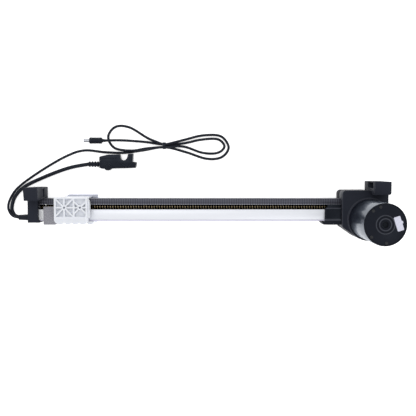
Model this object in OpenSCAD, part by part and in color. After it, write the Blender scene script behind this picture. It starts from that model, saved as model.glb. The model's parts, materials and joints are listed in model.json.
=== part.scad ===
// Motorised linear slider: a lead screw between two aluminium profiles drives a white carriage,
// turned through a worm gear by a DC motor that stands across the rail's right-hand end.
// It lies on its back: +X runs along the rail to the motor, +Y to the mounting blocks and
// +Z up along the motor's axis. The origin is under the middle of the box, without the leads.

/* [Rail] */
// Left end of both profiles
rail_left = -264; // [-266:0.5:-262]
// Right end of both profiles
rail_right = 202.5; // [200:0.5:203]
// Height of the profiles' rear faces
rail_rear = 8; // [7.5:0.5:9]
// Depth of the profiles, rear face to front face
rail_depth = 32; // [30:0.5:33]
// Top of the guide channel
channel_top = 18.7; // [18.5:0.1:19]
// Height of the guide channel
channel_h = 8.9; // [8.7:0.1:9.2]
// Top of the lips on the silver duct
duct_top = 2.2; // [1.5:0.1:2.5]
// Underside of the silver duct
duct_bottom = -15.5; // [-17:0.1:-15]

/* [Lead screw] */
// Height of the screw's axis above the table
screw_z = 24; // [23.5:0.1:24.5]
// Outside diameter of the thread
screw_d = 12; // [11:0.5:12]
// Lead of the thread, one start
screw_lead = 4; // [3:0.5:5]
// Diameter of the journals
journal_d = 8; // [7:0.5:8]

/* [Worm gear] */
// Module of the worm and wheel
gear_module = 0.8; // [0.7:0.05:0.8]
// Teeth on the worm wheel
wheel_teeth = 32; // [30:1:32]
// Pitch diameter of the worm
worm_pitch_d = 10.4; // [10.4:0.1:11]
// Length of the worm's thread
worm_len = 20; // [16:1:20]

/* [Motor] */
// Place of the motor's axis along the rail
motor_x = 243.5; // [242:0.5:244]
// Outside diameter of the motor's can
can_d = 60; // [58:0.5:60]
// Far end of the motor above the table
motor_top = 142; // [135:1:145]
// Diameter of the motor's shaft
shaft_d = 6; // [5:0.5:6]

/* [Gear housing] */
// Depth of both housing shells together
housing_depth = 48; // [46:1:48]
// Left face of the housing
housing_left = 203; // [202.5:0.1:204]
// Wall thickness of the housing
housing_wall = 3; // [2.5:0.5:3.5]

/* [Mounting blocks] */
// Diameter of the mounting bore in each block
bore_d = 10; // [8:0.5:11]
// Height of the mounting bores above the table
bore_z = 60.5; // [60:0.5:61]
// Rear face of both blocks
block_rear = 4; // [2:0.5:6]
// Front face of both blocks
block_front = 70; // [69:0.5:72]

/* [Carriage] */
// Left edge of the ribbed plate
plate_left = -233.2; // [-233.4:0.1:-232.8]
// Length of the ribbed plate
plate_len = 49.7; // [49:0.1:50]
// Front face of the ribbed plate
plate_front = 58; // [56:0.5:60]
// Distance between the two carriage holes
hole_pitch = 24; // [23:0.5:24.5]
// Diameter of the carriage holes
hole_d = 3.3; // [3:0.1:4.2]
// Distance between the flutes along the carriage's lower wall
flute_pitch = 11.4; // [11:0.1:11.6]

/* [Leads] */
// Diameter of the thin lead
thin_d = 4; // [3.8:0.1:4]
// Diameter of the thick lead
thick_d = 6; // [5.5:0.1:6]

/* [Hidden] */
$fn = 64;
eps = 0.01;

rail_front = rail_rear + rail_depth;
channel_bottom = channel_top - channel_h;
channel_leg = 3.5;
channel_web = 4;
duct_roof = -3;
duct_wall = 1.6;

screw_y = 5.5;
screw_r = screw_d / 2;
journal_r = journal_d / 2;
thread_depth = 1.6;
thread_left = -262;
thread_right = 217.5;
journal_left = -270.7;
journal_right = 267;
run_gap = 0.05;

wheel_r = gear_module * wheel_teeth / 2;
worm_r = worm_pitch_d / 2;
worm_pitch = PI * gear_module;
addendum = 0.75 * gear_module;
dedendum = 1.25 * gear_module;
pressure_angle = 20;
lead_angle = atan(worm_pitch / (2 * PI * worm_r));
motor_y = screw_y - wheel_r - worm_r;

can_r = can_d / 2;
can_wall = 1.8;
ring_r = can_r + 2.7;
ring_h = 4;
shaft_r = shaft_d / 2;
shaft_low = 5;
shaft_high = motor_top - 5;
cap_z = motor_top - 5;

housing_top = 31.5;
housing_step = 25.6;
housing_right = 273;
shell_z = housing_depth / 2;

housing_screw_xy = [[211, 23], [211, -19], [240, 23.5], [266, -22]];
cap_screw_r = 25.6;
cap_screw_angles = [106, 132, 222, 274];

bearing_r = 11;
bearing_w = 7;
end_bearing_x = -271;
drive_bearing_xs = [218, 258];

bracket_left = -275.5;
bracket_right = -260.5;
bracket_bottom = -17.6;
left_block = [bracket_left - 0.7, -255, 16.8, 36.2];
right_block = [246.9, 271.2, housing_step, 45.2];
left_pocket = [21.5, 34, 26, 63];
left_pocket_depth = 1.6;
right_pocket = [35.2, 43.9, 26, 58];
right_pocket_depth = 8;
block_round = 3;
left_bore_x = -266;
right_bore_x = 261;
block_screw_x = 262.5;
block_screw_zs = [14, 36];

buffer_left = -252;
buffer_bottom = -20.8;

plate_right = plate_left + plate_len;
base_right = plate_right + 2.7;
base_rear = 41;
cell_floor = 53;
plate_bottom = -9.4;
plate_top = 21.4;
hole_mid_x = -206;
hole_y = 6;
hole_floor = 50.5;
rib_w = 2.3;
back_left = -225.4;
back_right = -175.5;
back_top = 24;
skirt_bottom = -19.6;
rear_skirt_bottom = -21.2;
rear_skirt_shift = -4;
flute_r = 5.8;
first_flute = -223.6;
back_face = 7;
carriage_screw_xs = [
    first_flute + rear_skirt_shift + flute_pitch, first_flute + rear_skirt_shift + 3 * flute_pitch
];
carriage_screw_y = -17.7;
nut_x = [-222, -186];
ear_low = [-213.5, 2.8, 3.5];
ear_high = [-198.5, 9.2, 44.5];

gland_y = -12;
gland_tip = -299;
gland_z = 11.1;

web_screw_zs = [14, 34];
web_screw_y = 16.7;
web_screw_r = 1.6;
wire_r = 1;
holder_z = 121;

plug_y = 108.8;
plug_z = 5;
plug_tail = -161.5;
boot_z = 5.5;
boot_y = 71.6;
boot_left = -190;
boot_right = -171.4;
connector_h = 14;

// The thin lead's route: out of the gland, round a right-hand loop, a left-hand loop and a
// smaller right-hand loop that one tie holds at x = -70, and on to the plug
thin_route = [
    [gland_tip, gland_y, 14.2], [-309.4, -9, 12.9], [-316.8, 2, 8.2], [-314.7, 17, 4],
    [-301.5, 35.5, 2.4], [-269, 59.2, 2.1], [-228, 83, 2.1], [-198, 93.2, 2.1],
    [-165, 90.6, 2.1], [-135, 89.6, 2.1], [-104, 93.4, 2.2], [-70, 98.4, 2.8], [-36, 90.5, 2.2],
    [-4, 80.3, 2.1], [20, 82.5, 2.1], [31.4, 98, 2.1], [19, 115.6, 2.1], [-9, 117, 2.2],
    [-38, 110.2, 2.8], [-56, 105.4, 6.4], [-70, 102.7, 7.4], [-83, 107, 6.4], [-98, 113.6, 2.8],
    [-125, 129.5, 2.1], [-147, 130.5, 2.1], [-158.8, 115, 2.1], [-149, 97.3, 2.6],
    [-122, 92.9, 6.2], [-97, 96.4, 6.7], [-70, 98.4, 7.4], [-40, 99.3, 3.9], [-10, 89.7, 2.2],
    [14, 89.5, 2.1], [24.7, 99.8, 2.1], [14, 110.9, 2.1], [-12, 110.2, 2.1], [-40, 104.5, 2.2],
    [-70, 102.7, 2.8], [-100, 106.6, 2.5], [-133, 109, 2.8], [-152, 109, 7.5],
    [plug_tail, plug_y, plug_z]
];

// The thick lead's route: out of the gland, inside the thin lead's bend, to the connector
thick_route = [
    [gland_tip, gland_y, 8.9], [-307.5, -8.5, 7.8], [-312, 3, 5.7], [-306.8, 21, 3.4],
    [-290, 37.2, 3.1], [-254, 54, 3.1], [-220, 66, 3.4], [boot_left, boot_y, boot_z]
];

// Longest stretch of a lead between two rings of its tube
ring_gap = 24;

// Point at t between b and c of a smooth curve through a, b, c and d
function spline(a, b, c, d, t) =
    0.5 * (2 * b + t * (c - a) + t * t * (2 * a - 5 * b + 4 * c - d)
        + t * t * t * (3 * b - a - 3 * c + d));

// Points along the smooth curve through a route
function smooth_path(route) = let (last = len(route) - 1) concat(
    [
        for (i = [0:last - 1])
            let (rings = ceil(norm(route[i + 1] - route[i]) / ring_gap))
            for (k = [0:rings - 1])
                spline(
                    route[max(i - 1, 0)], route[i], route[i + 1], route[min(i + 2, last)], k / rings
                )
    ],
    [route[last]]
);

function unit(v) = v / norm(v);

// Direction of a path at point i, from its neighbours, square to the faces at both ends
function heading(path, i) =
    i == 0 || i == len(path) - 1
        ? [sign(path[min(i + 1, len(path) - 1)][0] - path[max(i - 1, 0)][0]), 0, 0]
        : unit(path[i + 1] - path[i - 1]);

// Points of one eight-sided ring round a path
function ring_points(centre, forward, r, sides) =
    let (side = unit(cross([0, 0, 1], forward)), up = cross(forward, side))
    [for (k = [0:sides - 1]) centre + r * (cos(360 * k / sides) * side + sin(360 * k / sides) * up)];

// A closed tube of radius r along a path
module tube(path, r, sides) {
    rings = len(path);
    points = [for (i = [0:rings - 1]) each ring_points(path[i], heading(path, i), r, sides)];
    walls = [
        for (i = [0:rings - 2])
            for (k = [0:sides - 1])
                let (n = (k + 1) % sides)
                [i * sides + k, (i + 1) * sides + k, (i + 1) * sides + n, i * sides + n]
    ];
    start = [for (k = [0:sides - 1]) k];
    end = [for (k = [sides - 1:-1:0]) (rings - 1) * sides + k];
    polyhedron(points = points, faces = concat(walls, [start, end]), convexity = 10);
}

// A box between two corners
module box(low, high) {
    translate(low)
        cube(high - low);
}

// A cylinder along X from x0 to x1
module rod_x(x0, x1, y, z, r) {
    translate([x0, y, z])
        rotate([0, 90, 0])
            cylinder(h = x1 - x0, r = r);
}

// A cylinder along Z from z0 to z1
module rod_z(z0, z1, x, y, r) {
    translate([x, y, z0])
        cylinder(h = z1 - z0, r = r);
}

// A cylinder along Y from y0 to y1
module rod_y(y0, y1, x, z, r) {
    translate([x, y0, z])
        rotate([-90, 0, 0])
            cylinder(h = y1 - y0, r = r);
}

// A profile drawn in Y and Z, run along X from x0 to x1
module along_x(x0, x1) {
    translate([x0, 0, 0])
        rotate([90, 0, 90])
            linear_extrude(height = x1 - x0)
                children();
}

// A flat rectangle between two corners
module area(low, high) {
    translate(low)
        square(high - low);
}

// ---- Rail ----

module guide_channel() {
    groove_y = channel_bottom + 2.2;
    color([0.16, 0.17, 0.2])
        difference() {
            along_x(rail_left, rail_right)
                difference() {
                    area([channel_bottom, rail_rear], [channel_top, rail_front]);
                    area(
                        [channel_bottom - 1, rail_rear + channel_leg],
                        [channel_top - channel_web, rail_front - channel_leg]
                    );
                    area([groove_y, rail_front - 0.7], [groove_y + 0.9, rail_front + 1]);
                    area([channel_top - 1.4, rail_front - 0.5], [channel_top - 0.9, rail_front + 1]);
                }
            for (z = web_screw_zs)
                rod_x(rail_left - 1, rail_left + 10, web_screw_y, z, web_screw_r);
        }
}

module wire_duct() {
    color([0.9, 0.92, 0.94])
        along_x(rail_left, rail_right)
            difference() {
                area([duct_bottom, rail_rear], [duct_top, rail_front]);
                area(
                    [duct_roof, rail_rear + duct_wall],
                    [duct_top + 1, rail_front - duct_wall]
                );
                area(
                    [duct_bottom + duct_wall, rail_rear + duct_wall],
                    [duct_roof - duct_wall, rail_front - duct_wall]
                );
                area([duct_top - 1.6, rail_front - 0.3], [duct_top - 1.1, rail_front + 1]);
                area([duct_bottom + 1.7, rail_front - 0.4], [duct_bottom + 2.4, rail_front + 1]);
            }
}

// Two insulated wires from the gland through the duct and housing up to the brush holder
module motor_wires() {
    color([0.7, 0.1, 0.1])
        for (w = [[12, 221], [15.2, 217.5]]) {
            rod_x(bracket_left, w[1], gland_y, w[0], wire_r);
            translate([w[1], gland_y, w[0]])
                sphere(r = wire_r);
            rod_z(w[0], holder_z, w[1], gland_y, wire_r);
        }
}

// ---- Left end ----

// Flat outline of a mounting block, its outer side leaning out towards the top
module block_outline(b, lean) {
    polygon([[b[0] + lean, b[2]], [b[1], b[2]], [b[1], b[3]], [b[0], b[3]]]);
}

module end_bracket() {
    color([0.12, 0.12, 0.14])
        difference() {
            union() {
                linear_extrude(height = housing_depth)
                    polygon([
                        [bracket_left, bracket_bottom], [bracket_right + 2.4, bracket_bottom],
                        [bracket_right + 2.4, bracket_bottom + 2.4],
                        [bracket_right, bracket_bottom + 3.4], [bracket_right, left_block[2] + 3],
                        [bracket_left, left_block[2] + 3]
                    ]);
                translate([0, 0, block_rear])
                    linear_extrude(height = block_front - block_rear)
                        block_outline(left_block, 1.2);
            }
            box(
                [rail_left, duct_bottom, rail_rear],
                [left_block[1] + 1, channel_top, rail_front]
            );
            rod_x(end_bearing_x, rail_left + 1, screw_y, screw_z, bearing_r);
            rod_x(bracket_left - 1, rail_left + 1, gland_y, gland_z + 2.5, 2.8);
            rod_y(left_block[2] - 1, left_block[3] + 1, left_bore_x, bore_z, bore_d / 2);
            box(
                [left_block[1] - left_pocket_depth, left_pocket[0], left_pocket[2]],
                [left_block[1] + 1, left_pocket[1], left_pocket[3]]
            );
            for (z = web_screw_zs)
                rod_x(bracket_left - 1, rail_left + 1, web_screw_y, z, web_screw_r);
        }
}

// Ball bearing drawn as its two rings with the balls' cage between them
module ball_bearing(x0) {
    difference() {
        rod_x(x0, x0 + bearing_w, screw_y, screw_z, bearing_r);
        rod_x(x0 - 1, x0 + bearing_w + 1, screw_y, screw_z, journal_r + run_gap);
        for (x = [x0 - 1, x0 + bearing_w - 0.5])
            difference() {
                rod_x(x, x + 1.5, screw_y, screw_z, bearing_r - 2);
                rod_x(x - 1, x + 3, screw_y, screw_z, journal_r + 2);
            }
    }
}

module end_bearing() {
    color([0.7, 0.71, 0.73])
        ball_bearing(end_bearing_x);
}

// Two self-tapping screws through the bracket into the channel's web
module bracket_screws() {
    color([0.75, 0.76, 0.78])
        for (z = web_screw_zs) {
            rod_x(bracket_left - 0.5, bracket_left, web_screw_y, z, 2.8);
            rod_x(bracket_left, rail_left + 10, web_screw_y, z, web_screw_r);
        }
}

module stop_buffer() {
    color([0.52, 0.51, 0.54])
        along_x(buffer_left, plate_left - 0.5) {
            area([buffer_bottom, rail_front], [6.8, 46.5]);
            area([buffer_bottom, rail_rear], [duct_bottom, rail_front + eps]);
        }
}

// White pin on the channel's lip that keeps the buffer square
module buffer_pin() {
    color([0.95, 0.95, 0.93])
        rod_z(rail_front, 42.5, -249.2, 9.5, 0.9);
}

// Body of one limit switch, under the channel's web, with a bore for its button
module switch_body(x0, x1) {
    difference() {
        box([x0, 8.6, rail_rear + channel_leg], [x1, channel_top - channel_web, 18]);
        rod_x(x0 - 1, x1 + 1, 12, 15.2, 1 + run_gap);
    }
}

module limit_switches() {
    color([0.1, 0.1, 0.12]) {
        switch_body(-258, -252);
        switch_body(182, 188);
    }
}

module switch_button(x0, x1) {
    color([0.95, 0.95, 0.93])
        rod_x(x0, x1, 12, 15.2, 1);
}

module switch_button_left() {
    switch_button(-256.5, -250.5);
}

module switch_button_right() {
    switch_button(180.5, 186.5);
}

// Black moulding round the duct's right end
module rail_collar() {
    color([0.1, 0.11, 0.13])
        difference() {
            union() {
                linear_extrude(height = 43.5)
                    polygon([
                        [177.5, -17], [rail_right, -17], [rail_right, 4.7], [179.5, 4.7],
                        [177.5, 2.7]
                    ]);
                translate([0, 0, 14])
                    linear_extrude(height = 29.5)
                        polygon([[172, -17], [rail_right, -17], [rail_right, -21], [176, -21]]);
            }
            box([170, -18, -1], [rail_right + 1, 5, 5]);
            box([170, duct_bottom, rail_rear], [rail_right + 1, duct_top, rail_front]);
            box([170, duct_top - 1, 5], [rail_right + 1, 5, rail_front]);
            box([180.5, -13, 42.7], [199.5, 2.2, 44]);
        }
    color([0.1, 0.11, 0.13])
        box([181.5, 4, screw_z + screw_r + 0.8], [rail_right, channel_bottom - 0.3, 42]);
}

// ---- Gear housing ----

// Outline of the gear housing, drawn in by the given amount
module housing_outline(inset) {
    difference() {
        hull() {
            translate([housing_left + 6, housing_top - 6])
                circle(r = 6 - inset);
            translate([243, housing_top - 6])
                circle(r = 6 - inset);
            translate([housing_left + 7, -20.5])
                circle(r = 7 - inset);
            translate([motor_x, motor_y])
                circle(r = ring_r - inset, $fn = 96);
        }
        area([right_block[0] - inset, housing_step - inset], [housing_right + 1, housing_top + 1]);
    }
    area([240, 0], [housing_right - inset, housing_step - inset]);
}

// Solid webs across the housing's inside: seats of the screw's bearings and screw bosses
module housing_inside(z0, z1) {
    translate([0, 0, z0])
        linear_extrude(height = z1 - z0)
            difference() {
                housing_outline(housing_wall);
                area([drive_bearing_xs[0] - 1, -10], [drive_bearing_xs[0] + bearing_w, 32]);
                area([drive_bearing_xs[1], -10], [drive_bearing_xs[1] + bearing_w + 1, 32]);
                for (p = housing_screw_xy)
                    translate(p)
                        circle(r = 4);
            }
}

// Everything bored through both shells
module housing_bores() {
    rod_x(housing_left - 1, 225, screw_y, screw_z, screw_r + 0.8);
    for (x = drive_bearing_xs)
        rod_x(x, x + bearing_w, screw_y, screw_z, bearing_r);
    rod_x(220, journal_right + 1, screw_y, screw_z, journal_r + 1.5);
    rod_z(housing_depth - 5, housing_depth + 1, motor_x, motor_y, 10);
    for (z = [12, 15.2])
        rod_x(housing_left - 1, housing_left + 5, gland_y, z, wire_r + 0.2);
    for (x = [217.5, 221])
        rod_z(shell_z, housing_depth + 1, x, gland_y, wire_r + 0.2);
    for (z = block_screw_zs)
        rod_y(17.5, 32, block_screw_x, z, 2.1);
}

module housing_rear() {
    color([0.13, 0.13, 0.15])
        difference() {
            linear_extrude(height = shell_z)
                housing_outline(0);
            difference() {
                housing_inside(housing_wall, shell_z + 1);
                rod_z(0, 8, motor_x, motor_y, 8);
            }
            housing_bores();
            rod_z(shaft_low - 1, 10, motor_x, motor_y, 5);
            for (p = housing_screw_xy) {
                rod_z(-1, shell_z + 1, p[0], p[1], 1.7);
                rod_z(-1, 2, p[0], p[1], 3.2);
            }
        }
}

module housing_front() {
    color([0.13, 0.13, 0.15])
        difference() {
            union() {
                translate([0, 0, shell_z])
                    linear_extrude(height = housing_depth - shell_z)
                        housing_outline(0);
                rod_z(housing_depth - 1, housing_depth + ring_h, motor_x, motor_y, ring_r - 0.3);
            }
            housing_inside(shell_z - 1, housing_depth - housing_wall);
            housing_bores();
            rod_z(housing_depth, housing_depth + ring_h + 1, motor_x, motor_y, can_r);
            for (p = housing_screw_xy)
                rod_z(shell_z - 1, 40, p[0], p[1], 1.7);
        }
}

module housing_screws() {
    color([0.75, 0.76, 0.78])
        for (p = housing_screw_xy) {
            rod_z(0.2, 2, p[0], p[1], 3);
            rod_z(2, 38, p[0], p[1], 1.7);
        }
}

module drive_bearings() {
    color([0.7, 0.71, 0.73])
        for (x = drive_bearing_xs)
            ball_bearing(x);
}

module worm_bush() {
    color([0.72, 0.55, 0.3])
        difference() {
            rod_z(shaft_low - 1, 10, motor_x, motor_y, 5);
            rod_z(shaft_low - 0.2, 11, motor_x, motor_y, shaft_r + run_gap);
        }
}

module mount_block() {
    b = right_block;
    color([0.12, 0.12, 0.14])
        difference() {
            translate([0, 0, block_rear])
                linear_extrude(height = block_front - block_rear) {
                    area([b[0], b[2]], [b[1] - block_round, b[3]]);
                    area([b[0], b[2] + block_round], [b[1], b[3]]);
                    translate([b[1] - block_round, b[2] + block_round])
                        circle(r = block_round);
                }
            rod_y(b[2] - 1, b[3] + 1, right_bore_x, bore_z, bore_d / 2);
            box(
                [b[0] - 1, right_pocket[0], right_pocket[2]],
                [b[0] + right_pocket_depth, right_pocket[1], right_pocket[3]]
            );
            for (z = block_screw_zs) {
                rod_y(b[2] - 1, b[3] + 1, block_screw_x, z, 2.1);
                rod_y(b[3] - 4, b[3] + 1, block_screw_x, z, 4);
            }
        }
}

module mount_block_screws() {
    color([0.75, 0.76, 0.78])
        for (z = block_screw_zs) {
            rod_y(18, right_block[3] - 4, block_screw_x, z, 2.1);
            rod_y(right_block[3] - 4, right_block[3] - 0.6, block_screw_x, z, 3.6);
        }
}

// ---- Motor ----

module motor_can() {
    color([0.08, 0.08, 0.1])
        difference() {
            rod_z(housing_depth, motor_top - 1, motor_x, motor_y, can_r);
            rod_z(housing_depth + 2, motor_top, motor_x, motor_y, can_r - can_wall);
            rod_z(housing_depth - 1, housing_depth + 3, motor_x, motor_y, 7);
            for (x = [217.5, 221])
                rod_z(housing_depth - 1, housing_depth + 3, x, gland_y, wire_r + 0.2);
        }
}

module motor_magnets() {
    color([0.25, 0.25, 0.27])
        translate([motor_x, motor_y, 64])
            for (a = [25, 205])
                rotate([0, 0, a])
                    rotate_extrude(angle = 130)
                        area([21.5, 0], [can_r - can_wall, 48]);
}

// Pressed plate that closes the can, with a raised ring round the rear bearing
module motor_end_cap() {
    color([0.09, 0.09, 0.11])
        translate([motor_x, motor_y, 0])
            difference() {
                rotate_extrude()
                    polygon([
                        [0, cap_z], [6, cap_z], [6, cap_z - 5.5], [7.5, cap_z - 5.5], [7.5, cap_z],
                        [can_r - can_wall, cap_z], [can_r - can_wall, motor_top - 1],
                        [can_r, motor_top - 1], [can_r, motor_top - 0.4], [can_r - 0.4, motor_top],
                        [can_r - 1.6, motor_top], [can_r - 1.6, motor_top - 0.9],
                        [13.2, motor_top - 0.9], [13.2, motor_top - 0.1], [12, motor_top - 0.1],
                        [12, motor_top - 1.3], [9.6, motor_top - 1.3], [9.2, motor_top - 0.3],
                        [7.6, motor_top - 0.3], [6.8, motor_top - 1.6], [4.4, motor_top - 1.6],
                        [3.8, motor_top - 3.4], [0, motor_top - 3.4]
                    ]);
                for (a = cap_screw_angles)
                    rotate([0, 0, a])
                        rod_z(cap_z - 1, motor_top + 1, cap_screw_r, 0, 1.5);
            }
}

module motor_cap_screws() {
    color([0.14, 0.14, 0.16])
        translate([motor_x, motor_y, 0])
            for (a = cap_screw_angles)
                rotate([0, 0, a]) {
                    rod_z(cap_z - 3, motor_top - 0.9, cap_screw_r, 0, 1.5);
                    rod_z(motor_top - 0.9, motor_top - 0.1, cap_screw_r, 0, 2.2);
                }
}

// Front bush in the can's floor and rear bush in the end cap
module motor_bushes() {
    color([0.72, 0.55, 0.3]) {
        difference() {
            rod_z(housing_depth - 1, housing_depth + 6, motor_x, motor_y, 7);
            rod_z(housing_depth - 2, housing_depth + 7, motor_x, motor_y, shaft_r + run_gap);
        }
        difference() {
            rod_z(cap_z - 6, cap_z, motor_x, motor_y, 6);
            rod_z(cap_z - 7, cap_z + 1, motor_x, motor_y, shaft_r + run_gap);
        }
    }
}

module brush_holder() {
    color([0.35, 0.22, 0.14])
        translate([motor_x, motor_y, 0])
            difference() {
                rod_z(holder_z, holder_z + 4, 0, 0, can_r - can_wall);
                rod_z(holder_z - 1, holder_z + 5, 0, 0, 9.6);
                for (a = [0, 180])
                    rotate([0, 0, a])
                        box([9, -3, holder_z + 1], [23, 3, holder_z + 5]);
            }
}

module brushes() {
    color([0.2, 0.2, 0.2])
        translate([motor_x, motor_y, 0])
            for (a = [0, 180])
                rotate([0, 0, a])
                    box([9.2, -3, holder_z + 1], [18, 3, holder_z + 5]);
}

// Coil spring behind each brush, drawn as the coil's outside
module brush_springs() {
    color([0.7, 0.71, 0.73])
        translate([motor_x, motor_y, 0])
            for (a = [0, 180])
                rotate([0, 0, a])
                    rod_x(18, 23, 0, holder_z + 3, 1.8);
}

// Blank sticker on the motor's end
module motor_label() {
    color([0.95, 0.95, 0.96])
        translate([motor_x, motor_y, motor_top - 0.9])
            rotate([0, 0, 18])
                union() {
                    box([13.4, -14.6, 0], [22.6, 5.8, 0.5]);
                    rod_z(0, 0.5, 22.2, -3.7, 2.2);
                }
}

// ---- Rotor ----

// Radius of the worm's cross-section at an angle from its crest
function worm_radius(a) =
    let (
        crest = 360 * (worm_pitch / 5 - addendum * tan(pressure_angle)) / worm_pitch,
        root = 360 * (worm_pitch / 5 + dedendum * tan(pressure_angle)) / worm_pitch,
        share = min(max((abs(a) - crest) / (root - crest), 0), 1)
    )
    worm_r + addendum - share * (addendum + dedendum);

// Motor shaft with the worm cut on it, in mesh with the wheel
module worm_shaft() {
    turns = worm_len / worm_pitch;
    worm_low = screw_z - worm_len / 2;
    color([0.62, 0.63, 0.65])
        translate([motor_x, motor_y, 0]) {
            rod_z(shaft_low, worm_low, 0, 0, shaft_r);
            translate([0, 0, worm_low])
                rotate([0, 0, 90 - 360 * (turns / 2 + 0.5)])
                    linear_extrude(
                        height = worm_len, twist = -360 * turns, slices = ceil(11 * turns), $fn = 16
                    )
                        polygon([for (a = [-180:22.5:157.5]) worm_radius(a) * [cos(a), sin(a)]]);
            rod_z(worm_low + worm_len, shaft_high, 0, 0, shaft_r);
        }
}

module armature_core() {
    color([0.45, 0.45, 0.47])
        translate([motor_x, motor_y, 68])
            difference() {
                cylinder(h = 40, r = 20.5);
                translate([0, 0, -1])
                    cylinder(h = 42, r = shaft_r);
                for (a = [0:30:330])
                    rotate([0, 0, a])
                        box([11.5, -1.8, -1], [21.5, 1.8, 41]);
            }
}

module armature_windings() {
    color([0.72, 0.36, 0.16])
        translate([motor_x, motor_y, 0])
            for (z = [[60, 68], [108, 114]])
                difference() {
                    rod_z(z[0], z[1], 0, 0, 18.5);
                    rod_z(z[0] - 1, z[1] + 1, 0, 0, shaft_r);
                }
}

module commutator() {
    color([0.8, 0.5, 0.28])
        translate([motor_x, motor_y, 0])
            difference() {
                rod_z(114.5, 126, 0, 0, 9);
                rod_z(113, 127, 0, 0, shaft_r);
                for (a = [0:30:330])
                    rotate([0, 0, a])
                        box([8.2, -0.25, 113], [10, 0.25, 127]);
            }
}

// ---- Screw ----

// One thread groove after another, cut as rings
module lead_screw() {
    grooves = floor((thread_right - thread_left) / screw_lead) - 1;
    root = screw_r - thread_depth;
    color([0.62, 0.58, 0.48])
        translate([0, screw_y, screw_z])
            rotate([0, 90, 0])
                rotate_extrude()
                    polygon(concat(
                        [
                            [0, journal_left], [journal_r, journal_left],
                            [journal_r, thread_left], [screw_r, thread_left]
                        ],
                        [
                            for (i = [0:grooves - 1])
                                let (x = thread_left + 2 + i * screw_lead)
                                each [
                                    [screw_r, x], [root, x + 0.6], [root, x + 1.9],
                                    [screw_r, x + 2.5]
                                ]
                        ],
                        [
                            [screw_r, thread_right], [journal_r, thread_right],
                            [journal_r, journal_right], [0, journal_right]
                        ]
                    ));
}

module worm_wheel() {
    tip_r = wheel_r + addendum;
    root_r = wheel_r - dedendum;
    half_pitch_t = worm_pitch * 0.19;
    half_tip = half_pitch_t - addendum * tan(pressure_angle);
    half_root = half_pitch_t + dedendum * tan(pressure_angle);
    face = 7;
    color([0.88, 0.84, 0.7])
        translate([motor_x, screw_y, screw_z])
            difference() {
                union() {
                    rod_x(-face / 2, face / 2, 0, 0, root_r);
                    for (i = [0:wheel_teeth - 1])
                        rotate([360 * i / wheel_teeth, 0, 0])
                            rotate([0, lead_angle, 0])
                                along_x(-face / 2, face / 2)
                                    polygon([
                                        [-root_r + 0.5, -half_root], [-root_r, -half_root],
                                        [-tip_r, -half_tip], [-tip_r, half_tip],
                                        [-root_r, half_root], [-root_r + 0.5, half_root]
                                    ]);
                    rod_x(-face / 2 - 14.7, -face / 2, 0, 0, 6.5);
                }
                rod_x(-20, 20, 0, 0, journal_r);
            }
}

// Ring that holds the wheel against the right bearing
module wheel_collar() {
    color([0.6, 0.61, 0.63])
        difference() {
            rod_x(motor_x + 4, 257.5, screw_y, screw_z, 6);
            rod_x(motor_x, 260, screw_y, screw_z, journal_r);
        }
}

// ---- Carriage ----

// One rib from a hub out to the wall of its cell
module rib(p, a, length) {
    translate(p)
        rotate([0, 0, a])
            translate([0, -rib_w / 2])
                square([length, rib_w]);
}

// Ribbed face with two cells, a hub and hole in each
module carriage_face() {
    left_cell = [plate_left + 3, -204.8];
    right_cell = [-202.2, plate_right - 2.2];
    cell_low = plate_bottom + 1.6;
    cell_high = plate_top - 2.1;
    hubs = [for (s = [-1, 1]) [hole_mid_x + s * hole_pitch / 2, hole_y]];
    difference() {
        area([plate_left, plate_bottom], [plate_right, plate_top]);
        area([left_cell[0], cell_low], [left_cell[1], cell_high]);
        area([right_cell[0], cell_low], [right_cell[1], cell_high]);
    }
    for (h = hubs)
        translate(h)
            circle(r = 3.9);
    intersection() {
        area([plate_left, plate_bottom], [-204, plate_top]);
        for (a = [0:45:315])
            rib(hubs[0], a, 22);
    }
    intersection() {
        area([-203, plate_bottom], [plate_right, plate_top]);
        for (a = [0, 45, 135, 180, 225, 315])
            rib(hubs[1], a, 20);
    }
}

// Outline of the base behind the ribs, its upper right corner rounded
module carriage_base() {
    corner = 10;
    area([plate_left, plate_bottom], [base_right - corner, plate_top]);
    area([plate_left, plate_bottom], [base_right, plate_top - corner]);
    translate([base_right - corner, plate_top - corner])
        circle(r = corner);
}

// Outline of the lower wall below the plate, with its row of four round flutes
module skirt_outline() {
    corner = 7;
    for (i = [0:3])
        translate([first_flute + i * flute_pitch, skirt_bottom + flute_r])
            circle(r = flute_r);
    intersection() {
        translate([plate_left + corner, skirt_bottom + corner + 1])
            circle(r = corner);
        area([plate_left, skirt_bottom], [plate_right, plate_bottom + eps]);
    }
    area([plate_left, skirt_bottom + corner + 1], [plate_right, plate_bottom + eps]);
    area([plate_left + corner, skirt_bottom + 3], [plate_right, plate_bottom + eps]);
}

// The same wall behind the plate: one flute more, lower and shifted to the left
module rear_skirt_outline() {
    for (i = [0:4])
        translate([first_flute + rear_skirt_shift + i * flute_pitch, rear_skirt_bottom + flute_r])
            circle(r = flute_r);
    area(
        [plate_left, rear_skirt_bottom + flute_r],
        [first_flute + rear_skirt_shift + 4 * flute_pitch, plate_bottom + eps]
    );
    area(
        [plate_left + flute_r, rear_skirt_bottom + 3],
        [first_flute + rear_skirt_shift + 4 * flute_pitch, plate_bottom + eps]
    );
}

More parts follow.
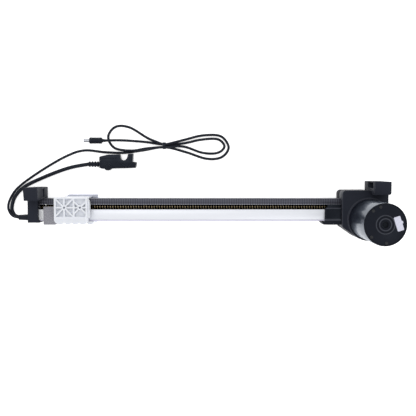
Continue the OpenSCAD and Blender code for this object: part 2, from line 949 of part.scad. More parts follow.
module carriage_front() {
    color([0.86, 0.88, 0.92])
        difference() {
            union() {
                translate([0, 0, base_rear])
                    linear_extrude(height = cell_floor - base_rear)
                        carriage_base();
                translate([0, 0, cell_floor - eps])
                    linear_extrude(height = plate_front - cell_floor + eps)
                        carriage_face();
                translate([0, 0, base_rear - eps])
                    linear_extrude(height = plate_front - base_rear + eps)
                        skirt_outline();
                translate([0, 0, shell_z])
                    linear_extrude(height = base_rear - shell_z)
                        rear_skirt_outline();
                box([back_left, channel_top + 0.3, shell_z], [plate_right, plate_top, base_rear + eps]);
            }
            box([-240, -16, shell_z - 1], [-170, channel_top + 0.3, base_rear]);
            box(ear_low, ear_high);
            for (s = [-1, 1])
                rod_z(hole_floor, plate_front + 1, hole_mid_x + s * hole_pitch / 2, hole_y, hole_d / 2);
            for (x = carriage_screw_xs)
                rod_z(shell_z - 1, 34, x, carriage_screw_y, 1.25);
        }
}

module carriage_back() {
    color([0.84, 0.86, 0.9])
        difference() {
            union() {
                translate([0, 0, 2])
                    linear_extrude(height = back_face - 2)
                        polygon([
                            [back_left, -18.5], [back_right, -18.5], [back_right, back_top],
                            [back_left + 4.5, back_top], [back_left, back_top - 3]
                        ]);
                translate([0, 0, 2])
                    linear_extrude(height = shell_z - 2)
                        intersection() {
                            rear_skirt_outline();
                            area([back_left, -22], [-170, -16]);
                        }
                box(
                    [back_left, channel_top + 0.3, back_face - eps],
                    [plate_right, plate_top, shell_z]
                );
            }
            box(ear_low, ear_high);
            for (x = carriage_screw_xs) {
                rod_z(1, shell_z + 1, x, carriage_screw_y, 1.25);
                rod_z(1, 3.6, x, carriage_screw_y, 1.8);
            }
        }
}

// Nut on the screw, with an ear through each slot of the rail
module drive_nut() {
    color([0.15, 0.15, 0.17])
        difference() {
            union() {
                box([nut_x[0], duct_roof + 0.4, 12], [nut_x[1], 14.3, 36]);
                box(ear_low, ear_high);
                box([-250.2, 10.6, 13.6], [nut_x[0] + 1, 13.4, 16.8]);
                box([nut_x[1] - 1, 10.6, 13.6], [-159.8, 13.4, 16.8]);
            }
            rod_x(nut_x[0] - 1, nut_x[1] + 1, screw_y, screw_z, screw_r + run_gap);
        }
}

// Low-friction liners between the carriage and the channel
module guide_pads() {
    color([0.25, 0.25, 0.27])
        for (x = [-228, -194]) {
            box([x, 11, rail_front + 0.1], [x + 10, channel_top - 0.3, base_rear]);
            box([x + 5, 11, back_face], [x + 15, channel_top - 0.3, rail_rear - 0.1]);
        }
}

module carriage_screws() {
    color([0.75, 0.76, 0.78])
        for (x = carriage_screw_xs) {
            rod_z(3.6, 33, x, carriage_screw_y, 1.25);
            rod_z(2.3, 3.6, x, carriage_screw_y, 1.8);
        }
}

// ---- Leads ----

module cable_gland() {
    color([0.1, 0.1, 0.12])
        hull()
            for (s = [-1, 1])
                translate([bracket_left, gland_y, gland_z + s * 1.4])
                    rotate([0, -90, 0])
                        cylinder(h = bracket_left - gland_tip, r1 = 5.3, r2 = 4.1, $fn = 24);
}

module thin_lead() {
    color([0.1, 0.1, 0.12])
        tube(smooth_path(thin_route), thin_d / 2, 8);
}

module thick_lead() {
    color([0.1, 0.1, 0.12])
        tube(smooth_path(thick_route), thick_d / 2, 10);
}

// Strap round the four strands of the thin lead
module lead_tie() {
    color([0.1, 0.1, 0.12])
        translate([-72.3, 0, 0])
            rotate([90, 0, 90])
                linear_extrude(height = 4.6)
                    difference() {
                        area([95.4, 0], [105.8, 10.3]);
                        area([96.3, 0.8], [104.9, 9.5]);
                    }
}

module dc_plug_body() {
    color([0.1, 0.1, 0.12])
        translate([-188, plug_y, plug_z])
            rotate([0, 90, 0])
                rotate_extrude()
                    polygon([
                        [0, 3], [2.5, 3], [2.5, 0.1], [4.5, 0.1], [5, 0.7], [5, 19.5],
                        [2.6, 20.5], [2.1, 188 + plug_tail], [0, 188 + plug_tail]
                    ]);
}

module dc_plug_sleeve() {
    color([0.85, 0.85, 0.86])
        difference() {
            union() {
                rod_x(-197, -188, plug_y, plug_z, 2.75);
                rod_x(-188 - eps, -185, plug_y, plug_z, 2.5);
            }
            rod_x(-198, -186, plug_y, plug_z, 2.1);
        }
}

module dc_plug_contact() {
    color([0.85, 0.72, 0.4])
        difference() {
            rod_x(-196.5, -186, plug_y, plug_z, 1.5);
            rod_x(-198, -187, plug_y, plug_z, 1.05);
        }
}

// Ribbed boot: short rings on a narrower core
module connector_boot() {
    color([0.1, 0.1, 0.12])
        translate([boot_left, boot_y, boot_z])
            rotate([0, 90, 0])
                rotate_extrude()
                    polygon(concat(
                        [[0, 0], [3.2, 0]],
                        [for (i = [0:3]) each [[4.5, 1.6 + 4 * i], [3.1, 3.8 + 4 * i]]],
                        [[4.6, boot_right - boot_left], [0, boot_right - boot_left]]
                    ));
}

module connector_body() {
    color([0.1, 0.1, 0.12])
        difference() {
            union() {
                linear_extrude(height = connector_h)
                    polygon([
                        [boot_right, 66], [-167, 64.4], [-128, 65.2], [-115, 65.8], [-113.4, 74.6],
                        [-119.6, 75.4], [-118.8, 88.2], [-126.2, 87.6], [-128.2, 81],
                        [-130.6, 78.2], [-134, 77.4], [-137.4, 79], [-139.4, 87], [-158, 86.6],
                        [boot_right, 83.4]
                    ]);
                rod_z(0, connector_h + 1, -158.2, 68, 6.3);
            }
            box([-127, 67.5, 3.5], [-110, 72.8, 10.5]);
        }
}

module connector_contacts() {
    color([0.8, 0.66, 0.35])
        for (z = [5.2, 8.8])
            rod_x(-127, -117, 70.1, z, 0.8);
}

guide_channel();
wire_duct();
motor_wires();
end_bracket();
end_bearing();
bracket_screws();
stop_buffer();
buffer_pin();
limit_switches();
switch_button_left();
switch_button_right();
rail_collar();
housing_rear();
housing_front();
housing_screws();
drive_bearings();
worm_bush();
mount_block();
mount_block_screws();
motor_can();
motor_magnets();
motor_end_cap();
motor_cap_screws();
motor_bushes();
brush_holder();
brushes();
brush_springs();
motor_label();
worm_shaft();
armature_core();
armature_windings();
commutator();
lead_screw();
worm_wheel();
wheel_collar();
carriage_front();
carriage_back();
drive_nut();
guide_pads();
carriage_screws();
cable_gland();
thin_lead();
thick_lead();
lead_tie();
dc_plug_body();
dc_plug_sleeve();
dc_plug_contact();
connector_boot();
connector_body();
connector_contacts();
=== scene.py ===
"""Looks of a motorised linear slider: a lead screw between two aluminium profiles drives a
white ribbed carriage, turned by a motor across the right end. Lengths are in millimetres in
the code and in metres in the scene."""
import json
import math

import bmesh
import bpy
from mathutils import Matrix, Vector


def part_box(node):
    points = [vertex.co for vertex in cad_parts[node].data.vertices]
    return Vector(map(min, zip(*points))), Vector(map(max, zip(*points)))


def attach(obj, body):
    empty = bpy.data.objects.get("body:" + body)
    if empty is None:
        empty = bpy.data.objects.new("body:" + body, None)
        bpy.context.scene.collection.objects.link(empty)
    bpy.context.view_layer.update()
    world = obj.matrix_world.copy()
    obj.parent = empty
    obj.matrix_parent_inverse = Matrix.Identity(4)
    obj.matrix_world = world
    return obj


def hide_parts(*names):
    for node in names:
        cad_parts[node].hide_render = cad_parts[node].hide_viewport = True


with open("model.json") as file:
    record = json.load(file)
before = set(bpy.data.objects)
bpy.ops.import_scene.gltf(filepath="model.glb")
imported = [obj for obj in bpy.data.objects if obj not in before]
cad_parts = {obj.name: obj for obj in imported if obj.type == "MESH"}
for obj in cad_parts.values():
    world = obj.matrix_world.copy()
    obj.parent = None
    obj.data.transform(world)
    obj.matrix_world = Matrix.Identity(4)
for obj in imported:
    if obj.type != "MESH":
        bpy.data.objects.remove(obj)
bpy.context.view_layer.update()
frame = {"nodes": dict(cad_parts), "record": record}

MM = 0.001
COOL = (0.7, 0.82, 1.0, 1)  # tint of the gloss on black pieces


# ---- Camera ----

def add_camera():
    """Looks down at the object from about a metre above its middle, tilted a little."""
    data = bpy.data.cameras.new("camera")
    data.lens = 56.25
    data.sensor_width = 36
    data.clip_start = 0.05
    camera = bpy.data.objects.new("camera", data)
    camera.location = (-0.0012, 0.0656, 1.034)
    camera.rotation_euler = (-0.06146, 0, 0)
    bpy.context.scene.collection.objects.link(camera)
    bpy.context.scene.camera = camera


add_camera()
bpy.context.scene.view_settings.view_transform = "Standard"


# ---- Places worked out from the frame, in millimetres ----

def box_mm(node):
    """Lowest and highest corners of a CAD node."""
    return [[value / MM for value in corner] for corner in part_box(node)]


def middle(node, axis):
    """Middle of a CAD node along axis 0, 1 or 2."""
    low, high = box_mm(node)
    return (low[axis] + high[axis]) / 2


MOTOR_X, MOTOR_Y = middle("worm_shaft", 0), middle("worm_shaft", 1)
SCREW_Y, SCREW_Z = middle("lead_screw", 1), middle("lead_screw", 2)
SCREW_LEFT, SCREW_RIGHT = box_mm("lead_screw")[0][0], box_mm("lead_screw")[1][0]
SCREW_CREST = 6.0
CAN_BOTTOM, MOTOR_TOP = box_mm("motor_can")[0][2], box_mm("motor_end_cap")[1][2]
CAN_RADIUS = 30
HOUSING_LEFT = box_mm("housing_front")[0][0]
COLLAR_LEFT = box_mm("rail_collar")[0][0]
LABEL_TURN = 18  # degrees that the sticker is turned round the motor's axis


# ---- Materials ----

MIX_A, MIX_B, MIX_RESULT = 6, 7, 2  # places of a mix node's colour sockets


class Shader:
    """A Principled material whose detail comes from noise in the object's own coordinates."""

    def __init__(self, name, color, rough, metal=0.0, **sockets):
        self.material = bpy.data.materials.new(name)
        self.material.use_nodes = True
        self.tree = self.material.node_tree
        self.bsdf = self.tree.nodes["Principled BSDF"]
        self.color = color
        self.height = None
        self.bsdf.inputs["Base Color"].default_value = (*color, 1)
        self.bsdf.inputs["Roughness"].default_value = rough
        self.bsdf.inputs["Metallic"].default_value = metal
        for socket, value in sockets.items():
            self.bsdf.inputs[socket.replace("_", " ")].default_value = value
        self.coords = self.node("ShaderNodeTexCoord").outputs["Object"]

    def node(self, kind, **values):
        made = self.tree.nodes.new(kind)
        for key, value in values.items():
            setattr(made, key, value)
        return made

    def link(self, source, target):
        self.tree.links.new(source, target)

    def math(self, operation, a, b=0.0):
        made = self.node("ShaderNodeMath", operation=operation)
        for socket, value in zip(made.inputs, (a, b)):
            if isinstance(value, (int, float)):
                socket.default_value = value
            else:
                self.link(value, socket)
        return made.outputs[0]

    def noise(self, size, stretch=(1, 1, 1), detail=3.0, offset=0.0):
        """Noise whose blobs are about size mm, from 0 to 1."""
        mapping = self.node("ShaderNodeMapping")
        mapping.inputs["Scale"].default_value = stretch
        mapping.inputs["Location"].default_value = (offset, offset, offset)
        self.link(self.coords, mapping.inputs["Vector"])
        made = self.node("ShaderNodeTexNoise")
        made.inputs["Scale"].default_value = 1 / (size * MM)
        made.inputs["Detail"].default_value = detail
        self.link(mapping.outputs[0], made.inputs["Vector"])
        return made.outputs["Fac"]

    def axis(self, name):
        """Place along X, Y or Z, in metres."""
        made = self.node("ShaderNodeSeparateXYZ")
        self.link(self.coords, made.inputs[0])
        return made.outputs[name]

    def ramp(self, value, low, high, start=0.3, end=0.7):
        """Runs from low to high as value goes from start to end, and stays level outside."""
        made = self.node("ShaderNodeMapRange")
        self.link(value, made.inputs["Value"])
        made.inputs["From Min"].default_value = start
        made.inputs["From Max"].default_value = end
        made.inputs["To Min"].default_value = low
        made.inputs["To Max"].default_value = high
        return made.outputs[0]

    def band(self, value, low, high, soft=0.15):
        """1 where value lies between low and high mm, 0 outside, with soft mm between."""
        rise = self.ramp(value, 0.0, 1.0, (low - soft) * MM, low * MM)
        fall = self.ramp(value, 1.0, 0.0, high * MM, (high + soft) * MM)
        return self.math("MULTIPLY", rise, fall)

    def wave(self, value, pitch):
        """A sine from -1 to 1 that repeats every pitch mm."""
        return self.math("SINE", self.math("MULTIPLY", value, 2 * math.pi / (pitch * MM)))

    def distance(self, axes, centre):
        """Distance in metres from a line through centre, in mm, across two axes."""
        squares = []
        for name, middle_mm in zip(axes, centre):
            offset = self.math("SUBTRACT", self.axis(name), middle_mm * MM)
            squares.append(self.math("MULTIPLY", offset, offset))
        return self.math("SQRT", self.math("ADD", *squares))

    def tint(self, value, dark, light):
        """Base colour runs from dark to light with value. Each further tint multiplies it."""
        shade = self.node("ShaderNodeMix", data_type="RGBA")
        self.link(value, shade.inputs[0])
        shade.inputs[MIX_A].default_value = (*dark, 1)
        shade.inputs[MIX_B].default_value = (*light, 1)
        result = shade.outputs[MIX_RESULT]
        socket = self.bsdf.inputs["Base Color"]
        if socket.is_linked:
            product = self.node("ShaderNodeMix", data_type="RGBA", blend_type="MULTIPLY")
            product.inputs[0].default_value = 1.0
            self.link(socket.links[0].from_socket, product.inputs[MIX_A])
            self.link(result, product.inputs[MIX_B])
            result = product.outputs[MIX_RESULT]
        self.link(result, socket)

    def vary(self, value, amount):
        """Brightness of the base colour varies by amount either way with value."""
        dark = tuple(c * (1 - amount) for c in self.color)
        light = tuple(min(1, c * (1 + amount)) for c in self.color)
        self.tint(value, dark, light)

    def roughen(self, value, low, high):
        """Roughness runs from low to high with value."""
        self.link(self.ramp(value, low, high), self.bsdf.inputs["Roughness"])

    def bump(self, value, depth, strength=1.0):
        """Adds a bump of depth mm to those before it."""
        made = self.node("ShaderNodeBump")
        made.inputs["Strength"].default_value = strength
        made.inputs["Distance"].default_value = depth * MM
        self.link(value, made.inputs["Height"])
        if self.height is not None:
            self.link(self.height, made.inputs["Normal"])
        self.height = made.outputs[0]
        self.link(self.height, self.bsdf.inputs["Normal"])


def grained_plastic(name, color, rough, grain=0.5, depth=0.03, **sockets):
    """Moulded or sintered surface with a fine grain and broad, faint clouds."""
    shader = Shader(name, color, rough, **sockets)
    fine = shader.noise(grain)
    broad = shader.noise(18, offset=3.0)
    shader.vary(broad, 0.14)
    shader.roughen(fine, rough - 0.06, rough + 0.08)
    shader.bump(fine, depth)
    return shader.material


def turned_metal(name, color, rough, stretch):
    """Metal with fine machining or drawing lines, which run along stretch's lowest axis."""
    shader = Shader(name, color, rough, metal=1.0)
    lines = shader.noise(1.2, stretch=stretch, detail=4)
    shader.vary(lines, 0.08)
    shader.roughen(lines, rough - 0.05, rough + 0.09)
    shader.bump(lines, 0.01)
    return shader.material


def anodised(name, color, lip_highlight_color):
    """Dark anodised extrusion: drawing lines, fine cross ribbing with painted shade stripes, a
    painted highlight along the lip by the slot and a painted shade line beside it.
    """
    shader = Shader(name, color, rough=0.42, metal=0.75)
    lip, rib_pitch = box_mm("guide_channel")[0][1], 3.6
    lines = shader.noise(0.9, stretch=(0.01, 1, 1), detail=4)
    ribs = shader.wave(shader.axis("X"), rib_pitch)
    # Painted highlight: a paler band along the lip by the slot, where the edge catches the light.
    shader.tint(shader.band(shader.axis("Y"), lip - 1, lip + 0.7), color, lip_highlight_color)
    # Painted shade: a darker line just above the lip, standing for the shade in a groove.
    shader.tint(shader.band(shader.axis("Y"), lip + 1.0, lip + 2.7), (1, 1, 1), (0.7, 0.7, 0.72))
    shader.tint(shader.noise(9, offset=5.0), (0.8, 0.8, 0.8), (1, 1, 1))
    # Painted shade: one half of each 3.6 mm rib pitch is painted darker, standing for the shade
    # between the ribs.
    shader.tint(shader.ramp(ribs, 0.0, 1.0, -1.0, 1.0), (0.45, 0.45, 0.47), (1, 1, 1))
    shader.roughen(lines, 0.36, 0.5)
    shader.bump(lines, 0.012)
    shader.bump(ribs, 0.01)
    return shader.material


def bright_extrusion(name, color):
    """Bare extrusion: long drawing lines, a band of painted shade along its lower lip, and a duller
    end beyond the carriage, dulled so that the end by the bracket, which lies in shade, reads
    brighter as painted light."""
    shader = Shader(name, color, rough=0.4, metal=0.25, Specular_IOR_Level=0.5)
    lip, painted_light_edge = box_mm("wire_duct")[0][1], -200
    lines = shader.noise(0.8, stretch=(0.008, 1, 1), detail=5)
    clouds = shader.noise(40, stretch=(0.2, 1, 1), offset=2.0)
    shader.vary(clouds, 0.03)
    # Painted light: left of X = -200 mm, in the shade between the bracket and the buffer, the duct
    # keeps its full colour while the rest is dulled to 0.78.
    painted_light_left = shader.ramp(shader.axis("X"), 1.0, 0.0, painted_light_edge * MM, (painted_light_edge + 5) * MM)
    shader.tint(painted_light_left, (0.78, 0.79, 0.82), (1, 1, 1))
    # Painted shade: the lower lip's rolled edge, turned away from the light, is painted duller.
    shader.tint(shader.band(shader.axis("Y"), lip + 0.3, lip + 1.7), (1, 1, 1), (0.7, 0.66, 0.78))
    shader.roughen(lines, 0.32, 0.46)
    shader.bump(lines, 0.012)
    return shader.material


def nylon(name, color):
    """White moulded nylon: light scatters inside it and its surface is faintly uneven."""
    shader = Shader(
        name, color, rough=0.38, Subsurface_Weight=0.35, Subsurface_Scale=0.004,
        Subsurface_Radius=(1.0, 1.0, 1.1), Specular_IOR_Level=0.45,
    )
    fine = shader.noise(0.7)
    flow = shader.noise(14, stretch=(1, 1, 0.4), offset=8.0)
    shader.vary(flow, 0.05)
    shader.roughen(fine, 0.32, 0.46)
    shader.bump(fine, 0.018)
    shader.bump(flow, 0.08, 0.5)
    return shader.material


def speckled(name, dark, light, specular=0.4):
    """Rough moulding with fine pale specks."""
    shader = Shader(name, dark, rough=0.55, Specular_IOR_Level=specular, Specular_Tint=COOL)
    specks = shader.noise(1.5, detail=6)
    shader.tint(shader.ramp(specks, 0.0, 1.0, 0.42, 0.62), dark, light)
    shader.roughen(specks, 0.48, 0.66)
    shader.bump(specks, 0.04)
    return shader.material


def enamel(name, color):
    """Satin black enamel with slight orange peel and dust."""
    shader = Shader(
        name, color, rough=0.36, Coat_Weight=0.55, Coat_Roughness=0.18, Coat_Tint=COOL,
        Specular_Tint=COOL,
    )
    peel = shader.noise(2.5, detail=2)
    dust = shader.noise(0.35, offset=7.0)
    shader.vary(shader.noise(25, offset=1.0), 0.2)
    shader.roughen(dust, 0.3, 0.46)
    shader.bump(peel, 0.006)
    return shader.material


def cap_paint(name, color, highlight_color):
    """Painted plate whose raised rings carry painted highlights, and whose centre dimple is painted
    dark as shade.
    """
    shader = Shader(name, color, rough=0.36, Specular_IOR_Level=0.16, Specular_Tint=COOL)
    outer_ring, inner_ring, dimple = (12.2, 13.4), (7.7, 9.0), 4.2
    radius = shader.distance("XY", (MOTOR_X, MOTOR_Y))
    # Painted highlight: the two raised rings are painted paler where light catches them.
    ring_highlight = shader.band(radius, *outer_ring, 0.3)
    ring_highlight = shader.math("ADD", ring_highlight, shader.band(radius, *inner_ring, 0.3))
    shader.tint(ring_highlight, color, highlight_color)
    # Painted shade: the centre dimple is painted dark, standing for the shade of a bore.
    shader.tint(shader.band(radius, -1, dimple, 0.5), (1, 1, 1), (0.2, 0.2, 0.2))
    shader.tint(shader.noise(7, offset=2.0), (0.75, 0.75, 0.78), (1, 1, 1))
    shader.roughen(shader.noise(2.2), 0.3, 0.44)
    shader.bump(shader.noise(2.2), 0.02)
    return shader.material


def edged_plastic(name, color, highlight_color, bands, specular=0.2):
    """Black plastic with painted highlights along bands given as (X, Y or motor, low, high) in mm,
    where motor stands for the distance from the motor's axis."""
    shader = Shader(name, color, rough=0.48, Specular_IOR_Level=specular, Specular_Tint=COOL)
    highlight_mask = None
    for axis_name, low, high in bands:
        if axis_name == "motor":
            value = shader.distance("XY", (MOTOR_X, MOTOR_Y))
        else:
            value = shader.axis(axis_name)
        line = shader.band(value, low, high, 0.3)
        highlight_mask = line if highlight_mask is None else shader.math("MAXIMUM", highlight_mask, line)
    # Painted highlight: the bands are painted paler, as edges catching the light.
    shader.tint(highlight_mask, color, highlight_color)
    shader.tint(shader.noise(14, offset=3.0), (0.72, 0.72, 0.74), (1, 1, 1))
    fine = shader.noise(0.6)
    shader.roughen(fine, 0.42, 0.58)
    shader.bump(fine, 0.025)
    return shader.material


def greased_thread(name):
    """Rolled steel thread: dark grease in the root and a brass-toned, polished crest."""
    shader = Shader(name, (0.05, 0.045, 0.04), rough=0.22, metal=0.9)
    radius = shader.distance("YZ", (SCREW_Y, SCREW_Z))
    smear = shader.noise(3.0, stretch=(1, 0.6, 0.6))
    crest = shader.ramp(radius, 0.0, 1.0, (SCREW_CREST - 0.5) * MM, (SCREW_CREST - 0.05) * MM)
    shader.tint(crest, (0.001, 0.001, 0.001), (0.37, 0.3, 0.19))
    shader.tint(smear, (0.6, 0.57, 0.5), (1, 1, 1))
    shader.roughen(smear, 0.14, 0.34)
    shader.bump(shader.noise(0.5), 0.004)
    return shader.material


def sticker(name):
    """Blank white sticker: paper with faint ruled lines along it and slight wrinkles."""
    shader = Shader(name, (0.64, 0.65, 0.74), rough=0.45)
    turn, rule_pitch = math.radians(LABEL_TURN), 1.7
    across = shader.math(
        "ADD", shader.math("MULTIPLY", shader.axis("X"), math.cos(turn)),
        shader.math("MULTIPLY", shader.axis("Y"), math.sin(turn)),
    )
    rules = shader.wave(across, rule_pitch)
    shader.vary(shader.noise(5), 0.04)
    shader.tint(shader.ramp(rules, 0.0, 1.0, 0.2, 0.9), (1, 1, 1), (0.6, 0.6, 0.7))
    shader.bump(shader.noise(3.5, offset=4.0), 0.05)
    shader.roughen(shader.noise(0.4), 0.38, 0.55)
    return shader.material


black = grained_plastic(
    "black_nylon", (0.0175, 0.0188, 0.0265), 0.6, Specular_IOR_Level=0.12, Specular_Tint=COOL,
)
# Painted highlights: a paler line along the housing's left edge and a paler ring round the can's
# seat.
seating_ring = (CAN_RADIUS + 1.6, CAN_RADIUS + 3)
housing_black = edged_plastic(
    "housing_black", (0.0118, 0.0122, 0.0185), (0.036, 0.038, 0.048),
    [("X", HOUSING_LEFT - 1, HOUSING_LEFT + 0.9), ("motor", *seating_ring)],
)
shell_black = speckled("rear_shell", (0.0035, 0.0038, 0.0065), (0.013, 0.014, 0.02), 0.06)
# Painted highlights: paler lines along the collar's upper and lower edges and its left end.
collar_upper_highlight, collar_lower_highlight = (3.6, 4.8), (-14.7, -12.2)
collar_black = edged_plastic(
    "collar_black", (0.005, 0.0056, 0.0092), (0.05, 0.052, 0.064),
    [("Y", *collar_upper_highlight), ("Y", *collar_lower_highlight),
     ("X", COLLAR_LEFT - 1, COLLAR_LEFT + 0.8)],
)
dark_rail = anodised("dark_anodised", (0.11, 0.113, 0.142), (0.42, 0.43, 0.49))
silver_rail = bright_extrusion("bare_aluminium", (0.95, 0.96, 0.99))
steel = turned_metal("steel", (0.55, 0.56, 0.58), 0.3, (1, 1, 0.1))
core_steel = turned_metal("core_steel", (0.32, 0.32, 0.34), 0.42, (0.1, 0.1, 3))
bronze = grained_plastic("bronze", (0.5, 0.33, 0.14), 0.42, 0.4, 0.02, metal=1.0)
copper = turned_metal("copper", (0.6, 0.25, 0.1), 0.35, (0.3, 0.3, 2))
contact_brass = turned_metal("contact_brass", (0.75, 0.55, 0.25), 0.25, (0.1, 1, 1))
plug_metal = turned_metal("plug_metal", (0.42, 0.43, 0.46), 0.28, (1.5, 0.2, 0.2))
white_nylon = nylon("white_nylon", (0.69, 0.71, 0.755))
# Painted shade: the carriage's back gets a darker, bluer copy of the white nylon, standing for its
# shade.
shaded_back_nylon = nylon("shaded_back_nylon", (0.5, 0.52, 0.6))
buffer_grey = speckled("grey_buffer", (0.2, 0.195, 0.215), (0.29, 0.285, 0.31))
gloss_black = enamel("black_enamel", (0.004, 0.0045, 0.007))
cap_black = cap_paint("cap_enamel", (0.0058, 0.0063, 0.0102), (0.05, 0.053, 0.064))
cap_screw = grained_plastic(
    "cap_screw", (0.01, 0.011, 0.014), 0.42, 0.8, 0.02, Specular_IOR_Level=0.3,
)
thread_metal = greased_thread("greased_thread")
paper = sticker("paper")
wire_red = grained_plastic("wire_red", (0.35, 0.02, 0.02), 0.4, 1.0, 0.02)
white_plastic = grained_plastic("white_plastic", (0.8, 0.8, 0.77), 0.35, 0.5, 0.01)
wheel_nylon = grained_plastic("wheel_nylon", (0.68, 0.6, 0.42), 0.4, 0.6, 0.02)
acetal = grained_plastic("acetal", (0.03, 0.03, 0.034), 0.3, 0.6, 0.01)
ferrite = grained_plastic("ferrite", (0.05, 0.05, 0.055), 0.6, 0.6, 0.04)
phenolic = grained_plastic("phenolic", (0.12, 0.055, 0.025), 0.45, 0.8, 0.03)
carbon = grained_plastic("carbon", (0.02, 0.02, 0.021), 0.5, 0.3, 0.02)
lead_black = grained_plastic(
    "lead_rubber", (0.006, 0.0065, 0.0105), 0.42, 0.9, 0.03, Specular_IOR_Level=0.22,
    Specular_Tint=COOL,
)
plug_black = grained_plastic(
    "plug_plastic", (0.006, 0.0066, 0.0108), 0.3, 0.6, 0.015, Specular_IOR_Level=0.2,
    Specular_Tint=COOL,
)

NODE_LOOKS = {
    "guide_channel": dark_rail,
    "wire_duct": silver_rail,
    "motor_wires": wire_red,
    "end_bracket": black,
    "end_bearing": steel,
    "bracket_screws": steel,
    "buffer_pin": white_plastic,
    "stop_buffer": buffer_grey,
    "limit_switches": acetal,
    "switch_button_left": white_plastic,
    "switch_button_right": white_plastic,
    "rail_collar": collar_black,
    "housing_rear": shell_black,
    "housing_front": housing_black,
    "housing_screws": steel,
    "drive_bearings": steel,
    "worm_bush": bronze,
    "mount_block": black,
    "mount_block_screws": steel,
    "motor_can": gloss_black,
    "motor_magnets": ferrite,
    "motor_end_cap": cap_black,
    "motor_cap_screws": cap_screw,
    "motor_bushes": bronze,
    "brush_holder": phenolic,
    "brushes": carbon,
    "brush_springs": steel,
    "motor_label": paper,
    "worm_shaft": steel,
    "armature_core": core_steel,
    "armature_windings": copper,
    "commutator": copper,
    "lead_screw": thread_metal,
    "worm_wheel": wheel_nylon,
    "wheel_collar": steel,
    "carriage_front": white_nylon,
    "carriage_back": shaded_back_nylon,
    "drive_nut": acetal,
    "guide_pads": acetal,
    "carriage_screws": steel,
    "cable_gland": lead_black,
    "thin_lead": lead_black,
    "thick_lead": lead_black,
    "lead_tie": plug_black,
    "dc_plug_body": plug_black,
    "dc_plug_sleeve": plug_metal,
    "dc_plug_contact": contact_brass,
    "connector_boot": lead_black,
    "connector_body": plug_black,
    "connector_contacts": contact_brass,
}


def body_of_node(node):
    """Name of the moving body that a CAD node belongs to."""
    bodies = frame["record"]["behaviour"]["bodies"]
    return next(body for body, members in bodies.items() if node in members)


def paint_cad_nodes():
    """Gives every CAD node its material, hidden ones included."""
    for node, material in NODE_LOOKS.items():
        mesh = frame["nodes"][node].data
        mesh.materials.clear()
        mesh.materials.append(material)


paint_cad_nodes()


# ---- Mesh helpers ----

def make_piece(name, bm, material, node, smooth_angle=38, replaced=()):
    """Turns a bmesh in metres into a piece that rides with node's body, and hides the CAD nodes it
    replaces.
    """
    bmesh.ops.recalc_face_normals(bm, faces=bm.faces)
    for face in bm.faces:
        face.smooth = True
    for edge in bm.edges:
        if len(edge.link_faces) == 2:
            edge.smooth = edge.calc_face_angle() < math.radians(smooth_angle)
    mesh = bpy.data.meshes.new(name)
    bm.to_mesh(mesh)
    bm.free()
    mesh.materials.append(material)
    piece = bpy.data.objects.new(name, mesh)
    bpy.context.scene.collection.objects.link(piece)
    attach(piece, body_of_node(node))
    if replaced:
        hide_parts(*replaced)
    return piece


def refined(node, width, segments=2):
    """A copy of a CAD node with its sharp edges rounded width mm, which replaces the node."""
    flat_angle, sharp_angle = math.radians(0.5), math.radians(30)
    bm = bmesh.new()
    bm.from_mesh(frame["nodes"][node].data)
    bmesh.ops.remove_doubles(bm, verts=bm.verts, dist=1e-6)
    bmesh.ops.dissolve_limit(bm, angle_limit=flat_angle, verts=bm.verts, edges=bm.edges)
    edges = [
        edge for edge in bm.edges
        if len(edge.link_faces) == 2 and edge.calc_face_angle() > sharp_angle
    ]
    bmesh.ops.bevel(
        bm, geom=edges, offset=width * MM, segments=segments, profile=0.5,
        affect="EDGES", clamp_overlap=True,
    )
    return make_piece(node + "_look", bm, NODE_LOOKS[node], node, replaced=[node])


def place(axis, centre, along, radius, angle):
    """Point in metres round an axis through centre, all given in mm and radians."""
    a, b = radius * math.cos(angle), radius * math.sin(angle)
    offset = {"X": (along, a, b), "Z": (a, b, along)}[axis]
    return Vector(c + o for c, o in zip(centre, offset)) * MM


def lathe(name, profile, axis, centre, material, node, steps=48, replaced=(), tube=False):
    """A closed solid of revolution. profile is (distance along the axis, radius) in mm. It runs
    from end to end and closes itself at radius 0, or is a loop if the solid is a tube."""
    bm = bmesh.new()
    rings = [
        [
            bm.verts.new(place(axis, centre, along, radius, 2 * math.pi * k / steps))
            for k in range(steps if radius else 1)
        ]
        for along, radius in profile
    ]
    following = rings[1:] + rings[:1] if tube else rings[1:]
    for low, high in zip(rings, following):
        for k in range(steps):
            n = (k + 1) % steps
            corners = [(low, k), (low, n), (high, n), (high, k)]
            unique = list(dict.fromkeys(ring[i % len(ring)] for ring, i in corners))
            if len(unique) > 2:
                bm.faces.new(unique)
    return make_piece(name, bm, material, node, replaced=replaced)


def loft(bm, sections):
    """Joins closed sections of equal length, in mm, and closes both ends."""
    rings = [[bm.verts.new(Vector(p) * MM) for p in section] for section in sections]
    for low, high in zip(rings, rings[1:]):
        for k in range(len(low)):
            n = (k + 1) % len(low)
            bm.faces.new([low[k], low[n], high[n], high[k]])
    bm.faces.new(rings[0][::-1])
    bm.faces.new(rings[-1])


# ---- Leads ----

def spline_point(a, b, c, d, t):
    """Catmull-Rom point between b and c, with a and d as their neighbours."""
    return tuple(
        0.5 * (
            2 * q + t * (r - p) + t * t * (2 * p - 5 * q + 4 * r - s)
            + t ** 3 * (3 * q - p - 3 * r + s)
        )
        for p, q, r, s in zip(a, b, c, d)
    )


def smooth_path(route):
    """Points at most about 2.5 mm apart along the same smooth curve as the CAD leads."""
    gap, last = 2.5, len(route) - 1
    path = []
    for i in range(last):
        near = (route[max(i - 1, 0)], route[i], route[i + 1], route[min(i + 2, last)])
        count = math.ceil(math.dist(route[i], route[i + 1]) / gap)
        path += [spline_point(*near, k / count) for k in range(count)]
    path.append(route[last])
    return path


